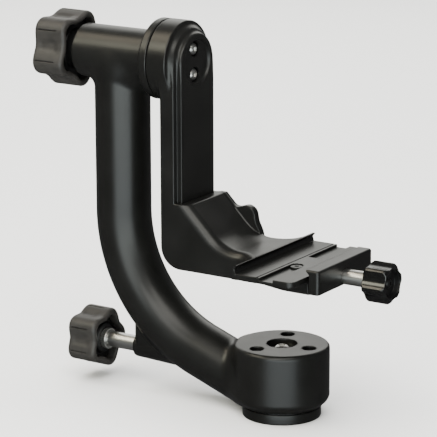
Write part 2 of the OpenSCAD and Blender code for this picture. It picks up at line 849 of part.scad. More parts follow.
// The fluted knob: long round hollows cut along it, and a dished outer end
module clamp_knob() {
    color("#141413") translate([0, 0, clamp_axis_z]) difference() {
        union() {
            rod_x(knob_in, knob_in + knob_edge, clamp_knob_r - knob_edge, clamp_knob_r);
            rod_x(knob_in + knob_edge, knob_out - knob_edge, clamp_knob_r);
            rod_x(knob_out - knob_edge, knob_out, clamp_knob_r, clamp_knob_r - knob_edge);
        }
        for (i = [0:flutes - 1]) rotate([360 / flutes * (i + 0.5), 0, 0])
            translate([0, 0, clamp_knob_r + flute_r * 0.6]) rod_x(knob_in - bite, knob_out + bite, flute_r);
        rod_x(knob_in - bite, knob_out, clamp_thread_r + seat_gap);
        rod_x(knob_out - knob_dish, knob_out + bite, clamp_knob_r - knob_wall);
    }
}

module clamp_knob_washer() {
    color("#c9cac8") translate([0, 0, clamp_axis_z])
        ring_x(knob_out - knob_dish, knob_out - knob_dish + knob_washer_t, clamp_knob_r - knob_wall - 1.8, m3_r + seat_gap);
}

module clamp_knob_screw() {
    head_x = knob_out - knob_dish + knob_washer_t;
    head_h = 1.8;
    color("#cfd0ce") translate([0, 0, clamp_axis_z]) difference() {
        union() {
            rod_x(head_x - knob_tap, head_x, m3_r);
            rod_x(head_x, head_x + head_h, m3_head_r, m3_head_r * button_top_share);
        }
        translate([head_x + head_h, 0, 0]) rotate([0, 90, 0]) hex_socket(1.3, 1.1);
    }
}

pan_base();
tripod_thread_insert();
pan_retaining_screw();
pan_retaining_washer();
arm_casting();
pan_bearing_carrier();
carrier_cap_screws();
pan_bushing();
pan_thrust_washer();
tilt_bushing_front();
tilt_bushing_rear();
tilt_friction_disc();
pan_brake_pad();
pan_brake_rod();
pan_lock_stud();
pan_knob_collar();
pan_knob_core();
pan_knob_grip();
pan_knob_cap();
swing_arm();
swing_arm_screws();
tilt_shaft();
clamp_stop_screw();
jaw_springs();
tilt_pressure_washer();
tilt_knob_core();
tilt_knob_insert();
tilt_knob_grip();
tilt_knob_cap();
movable_jaw();
jaw_guide_pins();
clamp_screw();
clamp_knob();
clamp_knob_washer();
clamp_knob_screw();
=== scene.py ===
# Gimbal tripod head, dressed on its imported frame. Shapes are drawn in millimetres.
import json
import math

import bmesh
import bpy
import numpy as np
from mathutils import Matrix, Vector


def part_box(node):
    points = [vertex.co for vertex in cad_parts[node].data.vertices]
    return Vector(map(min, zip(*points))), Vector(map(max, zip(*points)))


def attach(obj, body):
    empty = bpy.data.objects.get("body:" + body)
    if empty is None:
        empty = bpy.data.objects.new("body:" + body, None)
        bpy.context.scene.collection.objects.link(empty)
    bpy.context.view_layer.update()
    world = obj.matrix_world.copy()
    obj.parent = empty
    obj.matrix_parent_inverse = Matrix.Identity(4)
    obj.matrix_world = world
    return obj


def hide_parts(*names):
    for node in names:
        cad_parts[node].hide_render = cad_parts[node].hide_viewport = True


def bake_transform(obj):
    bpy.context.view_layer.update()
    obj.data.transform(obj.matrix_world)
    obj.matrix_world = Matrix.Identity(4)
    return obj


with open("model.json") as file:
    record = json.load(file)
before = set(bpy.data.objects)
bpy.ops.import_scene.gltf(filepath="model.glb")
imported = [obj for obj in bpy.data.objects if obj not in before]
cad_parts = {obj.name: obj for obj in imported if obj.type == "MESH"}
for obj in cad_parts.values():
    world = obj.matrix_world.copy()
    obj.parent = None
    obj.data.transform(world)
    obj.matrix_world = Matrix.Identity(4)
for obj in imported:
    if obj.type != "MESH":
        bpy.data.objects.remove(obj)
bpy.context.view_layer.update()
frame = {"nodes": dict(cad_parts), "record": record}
coarse = 1.0
mm = 0.001
tiltZ, lockZ, clampZ = 203.0, 25.5, 89.5    # heights of the three knobs' axes
capAngles = (0, 111, -111)                  # where the housing's cap screws stand, in degrees


def pieceName(node):                    # a CAD node's name in camel case
    words = node.split("_")
    return words[0] + "".join(w.capitalize() for w in words[1:])


def towards(azimuth, elevation):        # unit vector from the object, 0 being the front
    az, el = math.radians(azimuth), math.radians(elevation)
    return np.array((math.sin(az) * math.cos(el), -math.cos(az) * math.cos(el), math.sin(el)))


def addObject(name, data):
    thing = bpy.data.objects.new(name, data)
    bpy.context.scene.collection.objects.link(thing)
    return thing


def placeAt(thing, right, up, back, spot):
    placed = np.eye(4)
    placed[:3, 0], placed[:3, 1], placed[:3, 2], placed[:3, 3] = right, up, back, spot
    thing.matrix_world = Matrix(placed.tolist())


# ---- solids as distance fields: negative inside, in millimetres ----

def roundMax(a, b, radius):             # where two solids overlap, with a rounded edge
    overA = np.maximum(a + radius, 0.0)
    overB = np.maximum(b + radius, 0.0)
    return np.minimum(np.maximum(a, b), -radius) + np.hypot(overA, overB)


def roundMin(a, b, radius):             # two solids joined with a round fillet
    return -roundMax(-a, -b, radius)


def carve(solid, tool, radius):         # the tool cut out, its mouth rounded
    return roundMax(solid, -tool, radius)


def slab(t, low, high):
    return np.abs(t - (low + high) / 2) - (high - low) / 2


def rod(u, v, w, low, high, radius, edge):
    return roundMax(np.hypot(u, v) - radius, slab(w, low, high), edge)


def prism(u, v, radius, sides):         # regular prism of this inner radius
    turns = [2 * math.pi * k / sides for k in range(sides)]
    return np.max([u * math.cos(t) + v * math.sin(t) for t in turns], axis=0) - radius


cubeCorners = np.array([(i, j, k) for i in (0, 1) for j in (0, 1) for k in (0, 1)])


def evaluate(field, points, batch=300000):      # in batches, to keep memory small
    parts = [field(*points[i:i + batch].T) for i in range(0, len(points), batch)]
    return np.concatenate(parts)


def slope(field, points, step=0.02):
    grad = np.empty_like(points)
    for axis in range(3):
        offset = np.zeros(3)
        offset[axis] = step
        grad[:, axis] = (evaluate(field, points + offset) - evaluate(field, points - offset)) / (2 * step)
    return grad


# Samples a field near its surface only, puts one point in each crossed cell where the
# tangent planes of its crossings meet, and joins the points into quads. Edges stay crisp
# and rounds stay smooth, and each face corner takes its normal from the field itself.
def skin(name, field, low, high, cell):
    cell = cell * coarse
    block = 8
    low = np.array(low, float) - 2.3 * cell
    blocks = np.ceil((np.array(high, float) + 2 * cell - low) / (cell * block)).astype(int)
    places = np.stack(np.meshgrid(*[np.arange(n) for n in blocks], indexing="ij"), -1).reshape(-1, 3)
    middle = evaluate(field, low + (places + 0.5) * block * cell)
    near = np.abs(middle) < 1.3 * block * cell
    values = np.where(middle < 0, -1.0, 1.0).astype(np.float32).reshape(blocks)
    values = values.repeat(block, 0).repeat(block, 1).repeat(block, 2)
    inner = np.stack(np.meshgrid(*[np.arange(block)] * 3, indexing="ij"), -1).reshape(-1, 3)
    places = (places[near][:, None, :] * block + inner[None]).reshape(-1, 3)
    values[tuple(places.T)] = evaluate(field, low + places * cell)

    solid = values < 0
    count = np.zeros([n - 1 for n in values.shape], np.uint8)
    for i, j, k in cubeCorners:
        count += solid[i:solid.shape[0] - 1 + i, j:solid.shape[1] - 1 + j, k:solid.shape[2] - 1 + k]
    mixed = (count > 0) & (count < 8)
    cells = np.argwhere(mixed)
    number = np.full(mixed.shape, -1, np.int64)
    number[mixed] = np.arange(len(cells))

    # tangent planes at the crossings, one set per grid direction, shared by the cells around
    pull = 0.02                         # keeps a point by its crossings where the planes leave it free
    matrix = np.tile(np.eye(3) * pull, (len(cells), 1, 1))
    spots, hits = np.zeros((len(cells), 3)), np.zeros((len(cells), 1))
    planes = np.zeros((len(cells), 3))
    quads = []
    for axis in range(3):
        step, side, up = np.eye(3, dtype=int)[[axis, (axis + 1) % 3, (axis + 2) % 3]]
        edge = np.argwhere(np.diff(solid.astype(np.int8), axis=axis) != 0)
        edge = edge[(edge > 0).all(1)]
        before, after = values[tuple(edge.T)].astype(float), values[tuple((edge + step).T)].astype(float)
        spot = edge + (before / (before - after))[:, None] * step
        normal = unit(slope(field, low + spot * cell))
        around = [number[tuple((edge - a).T)] for a in (side + up, up, 0 * up, side)]
        for owner in around:
            np.add.at(matrix, owner, normal[:, :, None] * normal[:, None, :])
            np.add.at(planes, owner, normal * (normal * spot).sum(1)[:, None])
            np.add.at(spots, owner, spot)
            np.add.at(hits, owner, 1.0)
        faces = np.stack(around, 1)
        outward = before < 0
        quads.append(np.where(outward[:, None], faces, faces[:, ::-1]))
    quads = np.concatenate(quads)
    spots /= hits
    points = np.linalg.solve(matrix, (planes + pull * spots)[:, :, None])[:, :, 0]
    points = np.clip(points, cells - 0.1, cells + 1.1)
    points = low + points * cell
    for _ in range(2):
        grad = slope(field, points)
        size = np.maximum((grad ** 2).sum(1), 0.25)
        points -= np.clip(grad * (evaluate(field, points) / size)[:, None], -0.3 * cell, 0.3 * cell)

    # normals a little way in from each corner of a face, so an edge keeps its two sides
    corners = points[quads]
    inward = corners + 0.3 * (corners.mean(1, keepdims=True) - corners)
    normals = unit(slope(field, inward.reshape(-1, 3)))
    print("skin", name, len(quads) * 2, "triangles")
    return meshPiece(name, points * mm, quads.tolist(), normals)


def unit(vectors):
    return vectors / np.maximum(np.linalg.norm(vectors, axis=1), 1e-6)[:, None]


def meshPiece(name, points, faces, cornerNormals=None):
    mesh = bpy.data.meshes.new(name)
    mesh.from_pydata(np.asarray(points).tolist(), [], faces)
    mesh.shade_smooth()
    if cornerNormals is not None:
        mesh.normals_split_custom_set(cornerNormals.tolist())
    return addObject(name, mesh)


# A closed profile of (along, radius, corner radius) turned about an axis.
def turned(name, profile, frameOf, segments=96):
    path = []
    for k, (along, radius, corner) in enumerate(profile):
        here = np.array((along, radius))
        before = np.array(profile[k - 1][:2]) - here
        after = np.array(profile[(k + 1) % len(profile)][:2]) - here
        bend = math.acos(np.clip(before @ after / np.linalg.norm(before) / np.linalg.norm(after), -1, 1))
        if corner <= 0 or bend > 3.1:
            path.append(here)
            continue
        reach = corner / math.tan(bend / 2)
        start = here + before / np.linalg.norm(before) * reach
        end = here + after / np.linalg.norm(after) * reach
        for t in np.linspace(0, 1, 6):    # a round corner as a quadratic sweep
            path.append((1 - t) ** 2 * start + 2 * t * (1 - t) * here + t * t * end)
    rings = len(path)
    turn = [2 * math.pi * k / segments for k in range(segments)]
    points = [frameOf(a, r * math.cos(t), r * math.sin(t)) for t in turn for a, r in path]
    faces = []
    for s in range(segments):
        for k in range(rings):
            nextRing, nextTurn = (k + 1) % rings, (s + 1) % segments
            faces.append([s * rings + k, s * rings + nextRing,
                          nextTurn * rings + nextRing, nextTurn * rings + k])
    piece = meshPiece(name, np.array(points) * mm, faces)
    closeUp(piece)
    return piece


def closeUp(piece, gap=1e-6):           # merges doubles and turns the faces outwards
    work = bmesh.new()
    work.from_mesh(piece.data)
    bmesh.ops.remove_doubles(work, verts=work.verts, dist=gap)
    bmesh.ops.recalc_face_normals(work, faces=work.faces)
    work.to_mesh(piece.data)
    work.free()


# ---- finishes ----

def linear(hexColour):
    channels = [int(hexColour[i:i + 2], 16) / 255 for i in (1, 3, 5)]
    return [c / 12.92 if c <= 0.04045 else ((c + 0.055) / 1.055) ** 2.4 for c in channels] + [1.0]


def addNode(tree, kind, settings=None, links=None):
    node = tree.nodes.new(kind)
    for key, value in (settings or {}).items():
        if isinstance(key, int) or key in node.inputs:
            node.inputs[key].default_value = value
        else:
            setattr(node, key, value)
    for key, source in (links or {}).items():
        tree.links.new(source, node.inputs[key])
    return node


def startMaterial(name, shader):
    material = bpy.data.materials.new(name)
    material.use_nodes = True
    tree = material.node_tree
    tree.nodes.clear()
    surface = addNode(tree, "ShaderNodeBsdfPrincipled", shader)
    addNode(tree, "ShaderNodeOutputMaterial", links={"Surface": surface.outputs[0]})
    place = addNode(tree, "ShaderNodeTexCoord").outputs["Object"]
    return material, tree, surface, place


def ramp(tree, source, dark, light, low, high):
    blend = addNode(tree, "ShaderNodeMapRange", {"From Min": low, "From Max": high}, {"Value": source})
    return addNode(tree, "ShaderNodeMix", {"data_type": "RGBA", 6: linear(dark), 7: linear(light)},
                   {0: blend.outputs[0]}).outputs[2]


def vary(tree, source, low, high, fromLow, fromHigh):
    return addNode(tree, "ShaderNodeMapRange",
                   {"From Min": fromLow, "From Max": fromHigh, "To Min": low, "To Max": high},
                   {"Value": source}).outputs[0]


def paint(tree, surface, source, colours, rough, span=(0.3, 0.7)):     # one pattern for colour and sheen
    tree.links.new(ramp(tree, source, *colours, *span), surface.inputs["Base Color"])
    tree.links.new(vary(tree, source, *rough, *span), surface.inputs["Roughness"])


def addGrain(tree, surface, place, scale, detail, strength, height):
    grain = addNode(tree, "ShaderNodeTexNoise", {"Scale": scale, "Detail": detail}, {"Vector": place})
    bump = addNode(tree, "ShaderNodeBump", {"Strength": strength, "Distance": height},
                   {"Height": grain.outputs[0]})
    tree.links.new(bump.outputs[0], surface.inputs["Normal"])
    return grain.outputs[0]


# Black satin coating over cast and milled aluminium: even, slightly warm, with a very fine
# grain of about 0.3 mm that softens reflections without dulling the edges.
def satinBlackCoating():
    material, tree, surface, place = startMaterial("satinBlackCoating", {
        "Metallic": 0.0, "IOR": 1.5, "Specular IOR Level": 0.5, "Coat Weight": 0.0})
    cloudy = addNode(tree, "ShaderNodeTexNoise", {"Scale": 45.0, "Detail": 3.0}, {"Vector": place})
    addGrain(tree, surface, place, 3300.0, 2.0, 0.08, 0.03 * mm)
    paint(tree, surface, cloudy.outputs[0], ("#0d0d0c", "#121211"), (0.30, 0.36))
    return material


# Moulded grey rubber over the knobs: dull, faintly mottled, with a fine moulded grain.
def greyRubber():
    material, tree, surface, place = startMaterial("greyRubber", {
        "IOR": 1.5, "Specular IOR Level": 0.5})
    mottle = addNode(tree, "ShaderNodeTexNoise", {"Scale": 240.0, "Detail": 4.0}, {"Vector": place})
    addGrain(tree, surface, place, 2600.0, 3.0, 0.25, 0.05 * mm)
    paint(tree, surface, mottle.outputs[0], ("#242321", "#2d2b29"), (0.44, 0.52))
    return material


# Black moulded nylon of the knobs' cores, and oxide black screws: a soft, even sheen.
def blackNylon(name="blackNylon"):
    material, tree, surface, place = startMaterial(name, {"IOR": 1.53, "Specular IOR Level": 0.5})
    grain = addGrain(tree, surface, place, 1500.0, 2.0, 0.1, 0.03 * mm)
    paint(tree, surface, grain, ("#090909", "#0e0e0e"), (0.32, 0.4))
    return material


# Glossy black anodised aluminium of the clamp knob: sharp reflections, fine turning lines.
def glossBlackAnodised():
    material, tree, surface, place = startMaterial("glossBlackAnodised", {
        "Metallic": 0.0, "IOR": 1.6, "Specular IOR Level": 0.6})
    lines = addNode(tree, "ShaderNodeTexWave", {"Scale": 900.0, "Distortion": 0.6, "bands_direction": "X"},
                    {"Vector": place})
    paint(tree, surface, lines.outputs["Fac"], ("#070707", "#0b0b0a"), (0.14, 0.2), (0.0, 1.0))
    return material


# Bright machined steel: turned, so its fine lines run round the axis, 0.3 mm apart.
def brightSteel(name, direction, colours, rough):
    material, tree, surface, place = startMaterial(name, {"Metallic": 1.0})
    lines = addNode(tree, "ShaderNodeTexWave",
                    {"Scale": 1050.0, "Distortion": 1.2, "Detail": 2.0, "bands_direction": direction},
                    {"Vector": place})
    paint(tree, surface, lines.outputs["Fac"], colours, rough, (0.0, 1.0))
    return material


finishes = {
    "arm_black": satinBlackCoating(),
    "knob_rubber": greyRubber(),
    "knob_core": blackNylon(),
    "clamp_knob_black": glossBlackAnodised(),
    "bright_steel": brightSteel("brightSteel", "X", ("#cfcecb", "#e2e1de"), (0.3, 0.36)),
    "dark_screw": blackNylon("blackOxideSteel"),
    "ground_steel": brightSteel("groundSteel", "X", ("#a3a39f", "#b5b5b1"), (0.28, 0.4)),
    "alloy": brightSteel("machinedAluminium", "Z", ("#b9babb", "#cfd0d0"), (0.3, 0.42)),
    "bush_brass": brightSteel("turnedBrass", "X", ("#b08d4f", "#c5a263"), (0.25, 0.35)),
    "slip_ring": blackNylon(),
}
slotOf = {part["node"]: part["material_slot"] for part in frame["record"]["subparts"]}
slotOf["clamp_knob_washer"] = slotOf["clamp_knob_screw"] = "dark_screw"     # both look black in the photo
bodyOf = {node: body for body, nodes in frame["record"]["behaviour"]["bodies"].items() for node in nodes}


def coat(piece, node):
    piece.data.materials.clear()
    piece.data.materials.append(finishes[slotOf[node]])


def dress(piece, node):                 # rides, replaces and finishes as its CAD node does
    coat(piece, node)
    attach(piece, bodyOf[node])
    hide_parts(node)


def dressSkin(field, node, cell):       # a skin that fills its CAD node's box
    low, high = (np.array(c) * 1000 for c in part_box(node))
    dress(skin(pieceName(node), field, low, high, cell), node)


print("finishes made")


# ---- curved arm ----

armShape = {
    "reach": 111.0, "tube": 16.5, "bend": 85.0, "angle": 70.0, "join": 19.6, "run": 45.0,
    "housing": 28.0, "low": 6.4, "top": 42.9, "topEdge": 2.4, "lowChamfer": 4.6,
    "recess": 8.9, "recessFloor": 37.4, "hole": 4.1, "holePitch": 18.3, "holeDepth": 6.0,
    "screwBore": 2.1, "bore": 23.0, "boreTop": 30.5, "neck": 5.05,
    "tilt": tiltZ, "barrel": 15.8, "barrelEnd": -137.0, "flange": 23.8, "flangeBack": -83.7,
    "flare": 6.0, "seam": -78.5, "tiltBore": 10.1, "discPocket": 21.05, "discFace": -80.2,
    "lock": lockZ, "boss": 7.3, "bossGrow": 2.6, "bossRun": 73.0, "bossEnd": -101.5, "bossIn": -30.0,
    "webTop": 45.5, "webEnd": -81.2, "webRound": 5.5, "lockBore": 4.85,
    "housingFillet": 8.0, "barrelFillet": 6.5, "crease": 0.8, "topReach": 12.0, "seamBelow": -40.0,
}


def tubeField(x, y, z, a):              # the round tube about its bent centre line
    lean = math.radians(a["angle"])
    bendX = a["bend"] - a["reach"]
    lowX = bendX - a["bend"] * math.cos(lean)
    bendZ = a["join"] + (-a["housing"] - lowX) / math.tan(lean) + a["bend"] * math.sin(lean)
    lowZ = bendZ - a["bend"] * math.sin(lean)
    turn = np.clip(np.arctan2(bendZ - z, bendX - x), 0.0, lean)
    curve = np.hypot(x - bendX + a["bend"] * np.cos(turn), z - bendZ + a["bend"] * np.sin(turn))
    rise = np.clip(z, bendZ, a["tilt"] - a["tube"] + 4.0)
    upright = np.hypot(x + a["reach"], z - rise)
    ahead = (math.sin(lean), -math.cos(lean))
    along = np.clip((x - lowX) * ahead[0] + (z - lowZ) * ahead[1], 0.0, a["run"])
    straight = np.hypot(x - lowX - along * ahead[0], z - lowZ - along * ahead[1])
    centre = np.minimum(np.minimum(curve, upright), straight)
    return np.hypot(centre, y) - a["tube"]


def armField(x, y, z):
    a = armShape
    radial, high, lock = np.hypot(x, y), z - a["tilt"], z - a["lock"]
    chamfer = (radial - a["housing"] + a["lowChamfer"] - z + a["low"]) / math.sqrt(2)
    housing = roundMax(radial - a["housing"], z - a["top"], a["topEdge"])
    housing = roundMax(roundMax(housing, a["low"] - z, 0.4), chamfer, 1.2)

    barrel = rod(y, high, x, a["barrelEnd"], a["seam"], a["barrel"], 1.0)
    flange = rod(y, high, x, a["flangeBack"], a["seam"], a["flange"], 0.6)
    barrel = roundMin(barrel, flange, a["flare"])

    taper = a["boss"] + a["bossGrow"] * (x - a["bossEnd"]) / a["bossRun"]
    boss = roundMax(np.hypot(y, lock) - taper, slab(x, a["bossEnd"], a["bossIn"]), 1.2)
    web = roundMax(np.abs(y) - a["boss"], slab(x, a["bossEnd"], a["webEnd"]), a["webRound"])
    web = np.maximum(web, slab(z, a["lock"], a["webTop"]))
    boss = np.minimum(boss, web)

    body = roundMin(tubeField(x, y, z, a), boss, a["crease"])
    body = np.maximum(body, a["low"] - z)
    body = roundMin(body, housing, a["housingFillet"])
    body = np.maximum(body, np.where(radial < a["housing"] + a["topReach"], z - a["top"], -1.0))
    body = roundMin(body, barrel, a["barrelFillet"])
    body = np.maximum(body, a["low"] - z)
    body = np.maximum(body, np.where(high > a["seamBelow"], x - a["seam"], -1.0))

    # recess, screw holes and bores
    body = carve(body, rod(x, y, z, a["recessFloor"], 60.0, a["recess"], 0.1), 0.5)
    for angle in capAngles:
        u = x - a["holePitch"] * math.cos(math.radians(angle))
        v = y - a["holePitch"] * math.sin(math.radians(angle))
        body = carve(body, rod(u, v, z, a["top"] - a["holeDepth"], 60.0, a["hole"], 0.1), 0.5)
        body = carve(body, rod(u, v, z, 20.0, 60.0, a["screwBore"], 0.1), 0.1)
    body = carve(body, rod(x, y, z, -10.0, a["boreTop"], a["bore"], 0.1), 0.4)
    body = carve(body, rod(x, y, z, 0.0, 60.0, a["neck"], 0.1), 0.1)
    body = carve(body, rod(y, lock, x, -150.0, 0.0, a["lockBore"], 0.1), 0.3)
    body = carve(body, rod(y, high, x, -200.0, 0.0, a["tiltBore"], 0.1), 0.4)
    return carve(body, rod(y, high, x, a["discFace"], 0.0, a["discPocket"], 0.1), 0.2)


def buildArm():
    dressSkin(armField, "arm_casting", 0.95)
    print("arm made")


# ---- swing arm with the fixed half of the clamp ----

swingShape = {
    "tilt": tiltZ, "seam": -78.2, "hub": 23.8, "hubFront": -65.0, "back": -71.0, "front": -61.2,
    "half": 20.5, "railHalf": 17.2, "railFront": -57.8, "railEdge": 0.4, "cove": 2.5,
    "softFrom": -12.0, "softRun": 16.0, "plainEdge": 0.3, "topEdge": 2.9, "topRail": 1.2, "topFoot": 1.4,
    "bottom": 83.0, "heel": 13.0, "top": 99.2, "ledgeX": -52.3, "ledgeZ": 122.3, "hollow": 25.0,
    "nearRound": 6.0, "farRound": 0.7, "sweep": 13.0, "sweepX": -18.6, "lipHalf": 43.5,
    "wingBottom": 90.7, "floor": 94.3, "bodyEnd": 32.8, "corner": 4.0, "lipFront": -3.6, "lipBack": -7.2,
    "noseSlant": 103.8, "grooveSlant": 102.3, "grooveX": -4.5, "grooveLean": 0.296, "grooveSpan": (-6.0, 2.0),
    "channel": (11.4, 20.1), "channelFloor": 92.6, "rib": 10.3, "line": (9.2, 10.0), "lineFloor": 93.5,
    "stopX": 15.3, "stopY": -9.3, "stopFloor": 92.1, "stopSeat": 3.85,
    "spineIn": -16.0, "spineFrom": -7.2, "spineRun": 28.0, "spineGrow": 5.5,
    "dish": 13.4, "dishFloor": -59.8, "seat": 4.5, "seatFloor": -62.4, "pitch": 7.5,
    "shaftSeat": 13.05, "shaftFace": -73.2, "screwBore": 3.05, "screwFrom": 7.0,
    "pinApart": 18.5, "pinBore": 2.55, "pinFrom": 11.0, "springApart": 10.5, "springBore": 2.7,
    "springFrom": 24.8,
    "lug": 5.4, "lugOut": 0.64, "lugBack": 9.4, "lugThick": 3.0, "lugEase": (11.0, 6.5),
    "tail": 2.4, "tailAlong": 9.0, "tailEase": 6.0,
}


def gussetTop(x, z, a):                 # above the slope, the round hollow and the flat
    centreX = a["ledgeX"] + a["ledgeZ"] - a["top"] + a["hollow"] * math.tan(math.radians(22.5))
    u, w = x - centreX, z - a["top"] - a["hollow"]
    slopeSide = (x - a["ledgeX"] + z - a["ledgeZ"]) / math.sqrt(2)
    top = np.where(u < w, slopeSide, a["hollow"] - np.hypot(u, w))
    return np.where(u >= 0, z - a["top"], top)


def lugField(x, y, z, a):               # rounded lug on the slope's far side, flowing into its edge
    footX = a["ledgeX"] + a["ledgeZ"] - a["top"]
    x, z = x - (footX - a["lugBack"]), z - (a["top"] + a["lugBack"])
    out, along = (x + z) / math.sqrt(2), (x - z) / math.sqrt(2)
    head = np.hypot(out - a["lugOut"] * a["lug"], along) - a["lug"]
    head = roundMin(head, np.hypot(out, along - a["tailAlong"]) - a["tail"], a["tailEase"])
    strip = np.maximum(out + 0.1, slab(along, -22.0, 22.0))
    outline = np.maximum(roundMin(head, strip, np.where(along > 0, *a["lugEase"])), -out - 6.0)
    outline = np.maximum(outline, z + a["top"] + a["lugBack"] - a["ledgeZ"] + 0.2)
    return roundMax(outline, slab(y, a["half"] - 2.0, a["half"] + a["lugThick"]), 0.8)


def swingField(x, y, z):
    a = swingShape
    side, high = np.abs(y), z - a["tilt"]
    heel = roundMax(a["back"] - x, a["bottom"] - z, a["heel"])
    outline = np.hypot(y, np.maximum(high, 0.0))
    soft = np.clip((high - a["softFrom"]) / a["softRun"], 0.0, 1.0)     # edges grow round towards the top
    upright = roundMax(x - a["front"], outline - a["half"], a["plainEdge"] + a["topEdge"] * soft)
    upright = roundMax(upright, heel, 1.0)
    rail = slab(x, a["front"] - 3.0, a["railFront"])
    rail = roundMax(rail, outline - a["railHalf"], a["railEdge"] + a["topRail"] * soft)
    rail = np.maximum(rail, a["top"] - z)
    upright = roundMin(upright, rail, a["plainEdge"] + a["topFoot"] * soft)
    hub = rod(y, high, x, a["seam"], a["hubFront"], a["hub"], 0.9)
    body = roundMin(upright, hub, a["cove"])

    # gusset: a sloping web that widens in plan to the lip's full length, its near edge well rounded
    u, v = x - a["sweepX"], side - a["half"] - a["sweep"]
    plan = np.where(u <= 0, side - a["half"], a["sweep"] - np.hypot(u, v))
    plan = np.where((u > 0) & (v >= 0), a["sweep"] - u, plan)
    web = roundMax(gussetTop(x, z, a), plan, np.where(y < 0, a["nearRound"], a["farRound"]))
    web = roundMax(web, z - a["ledgeZ"], 0.5)
    web = roundMax(web, np.maximum(heel, x - a["lipFront"] + 1.0), 1.0)
    web = np.maximum(web, side - a["lipHalf"])
    web = np.maximum(web, np.minimum(a["wingBottom"] - z, side - a["half"]))
    body = np.minimum(body, web)
    body = roundMin(body, lugField(x, y, z, a), 1.0)

    # spine, wings and fixed lip
    share = np.clip((x - a["spineFrom"]) / a["spineRun"], 0.0, 1.0)
    spineHalf = a["half"] + a["spineGrow"] * share * share * (3 - 2 * share)
    spine = roundMax(side - spineHalf, a["bottom"] - z, 1.2)
    spine = np.maximum(np.maximum(spine, z - a["floor"] + 1.0), slab(x, a["spineIn"], a["bodyEnd"]))
    wing = roundMax(side - a["lipHalf"], x - a["bodyEnd"], a["corner"])
    wing = roundMax(wing, slab(z, a["wingBottom"], a["floor"]), 0.35)
    wing = np.maximum(wing, a["lipBack"] - x)
    clamp = np.maximum(roundMin(spine, wing, 1.5), np.maximum(z - a["floor"], x - a["bodyEnd"]))
    nose = roundMax(x - a["lipFront"], z - a["top"], 0.35)
    nose = roundMax(nose, (z - x - a["noseSlant"]) / math.sqrt(2), 0.5)
    nose = np.maximum(nose, np.maximum(side - a["lipHalf"], slab(x, a["lipBack"], 0.0)))
    nose = np.maximum(nose, a["wingBottom"] - z)
    groove = a["grooveX"] - a["grooveLean"] * (z - a["floor"]) - x
    groove = roundMax(groove, (z - x - a["grooveSlant"]) / math.sqrt(2), 0.3)
    groove = np.maximum(groove, a["floor"] - z)
    nose = carve(nose, groove, 0.3)
    body = np.minimum(body, np.minimum(clamp, nose))
    body = np.maximum(body, -np.maximum(groove, slab(x, *a["grooveSpan"])))

    # channels, line, stop screw seat, dish, screw seats and bores
    channel = np.maximum(slab(x, *a["channel"]), np.maximum(a["channelFloor"] - z, a["rib"] - side))
    body = carve(body, channel, 0.25)
    body = carve(body, np.maximum(slab(x, *a["line"]), a["lineFloor"] - z), 0.1)
    stop = rod(x - a["stopX"], y - a["stopY"], z, a["stopFloor"], 120.0, a["stopSeat"], 0.1)
    body = carve(body, stop, 0.25)
    body = carve(body, rod(y, high, x, a["dishFloor"], 0.0, a["dish"], 1.95), 0.5)
    for up in (-a["pitch"], a["pitch"]):
        body = carve(body, rod(y, high - up, x, a["seatFloor"], 0.0, a["seat"], 0.2), 0.3)
    body = carve(body, rod(y, high, x, -90.0, a["shaftFace"], a["shaftSeat"], 0.1), 0.3)
    low = z - clampZ
    body = carve(body, rod(y, low, x, a["screwFrom"], 60.0, a["screwBore"], 0.1), 0.3)
    for across in (-1, 1):
        pin, spring = y - a["pinApart"] * across, y - a["springApart"] * across
        body = carve(body, rod(pin, low + 1, x, a["pinFrom"], 60.0, a["pinBore"], 0.1), 0.3)
        body = carve(body, rod(spring, low, x, a["springFrom"], 60.0, a["springBore"], 0.1), 0.3)
    return body


def buildSwing():
    dressSkin(swingField, "swing_arm", 0.85)
    print("swing arm made")


# ---- movable jaw ----

jawShape = {"lip": 33.6, "face": 35.9, "back": 42.3, "half": 30.5, "bottom": 85.0, "top": 99.2,
            "corner": 1.8, "backEdge": 1.4, "lipEdge": 0.5, "bore": 3.1, "collar": 4.65, "collarFrom": 40.3,
            "pinEnd": 40.8}


def jawField(x, y, z):
    a = jawShape
    body = roundMax(np.abs(y) - a["half"], x - a["back"], a["corner"])
    body = roundMax(body, z - a["top"], a["backEdge"])
    slant = ((a["top"] - a["lipEdge"]) - z - (x - a["lip"])) / math.sqrt(2)
    body = roundMax(body, np.maximum(a["lip"] - x, np.minimum(slant, a["face"] - x)), 0.3)
    body = roundMax(body, a["bottom"] - z, 0.6)
    low = z - clampZ
    body = carve(body, rod(y, low, x, 0.0, 60.0, a["bore"], 0.1), 0.2)
    body = carve(body, rod(y, low, x, a["collarFrom"], 60.0, a["collar"], 0.1), 0.3)
    for across in (-1, 1):
        pin = y - swingShape["pinApart"] * across
        body = carve(body, rod(pin, low + 1, x, 0.0, a["pinEnd"], swingShape["pinBore"], 0.1), 0.2)
    return body


def buildJaw():
    dressSkin(jawField, "movable_jaw", 0.5)
    print("jaw made")


# ---- soft knobs: grey rubber over a black lobed core ----

